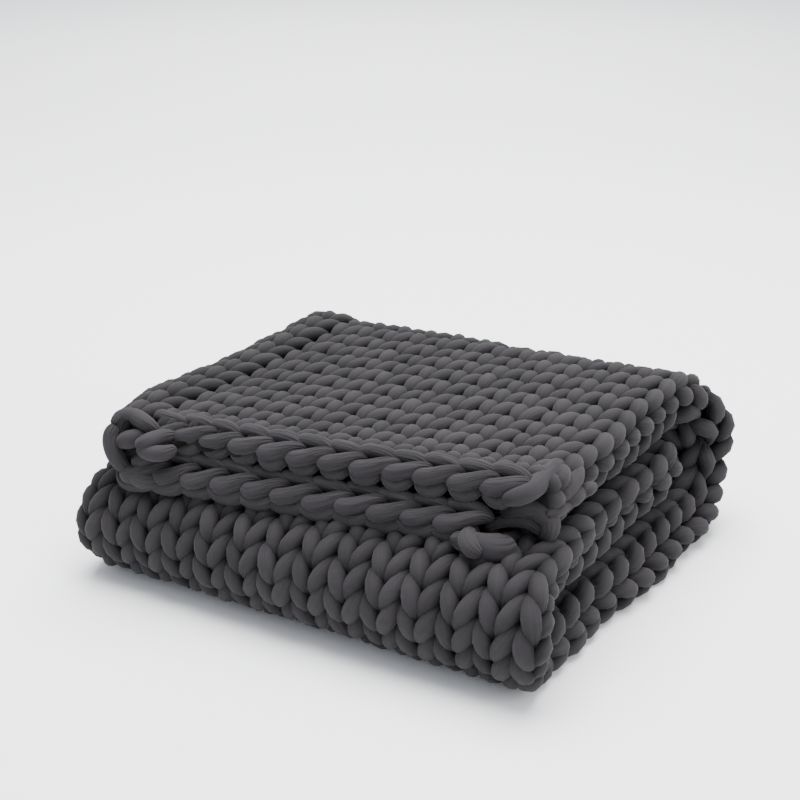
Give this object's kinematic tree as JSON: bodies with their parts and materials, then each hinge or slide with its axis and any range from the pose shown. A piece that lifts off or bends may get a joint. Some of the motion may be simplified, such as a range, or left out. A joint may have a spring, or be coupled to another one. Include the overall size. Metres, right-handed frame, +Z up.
{
  "type": "folded weighted blanket",
  "caption": "Chunky hand-knitted weighted blanket, folded into a thick stack of soft layers, for resting on a bed, sofa or shelf.",
  "frame": {"origin": "middle of the flat underside", "axes": "+Z up, +X along the front edge towards the open selvedges, -Y towards the front fold"},
  "size_m": [0.6476, 0.575, 0.2265],
  "materials": {
    "charcoal_yarn": "matte jersey-covered yarn, hand knitted"
  },
  "bodies": {
    "root": {"folded_blanket": "charcoal_yarn"}
  },
  "joints": []
}
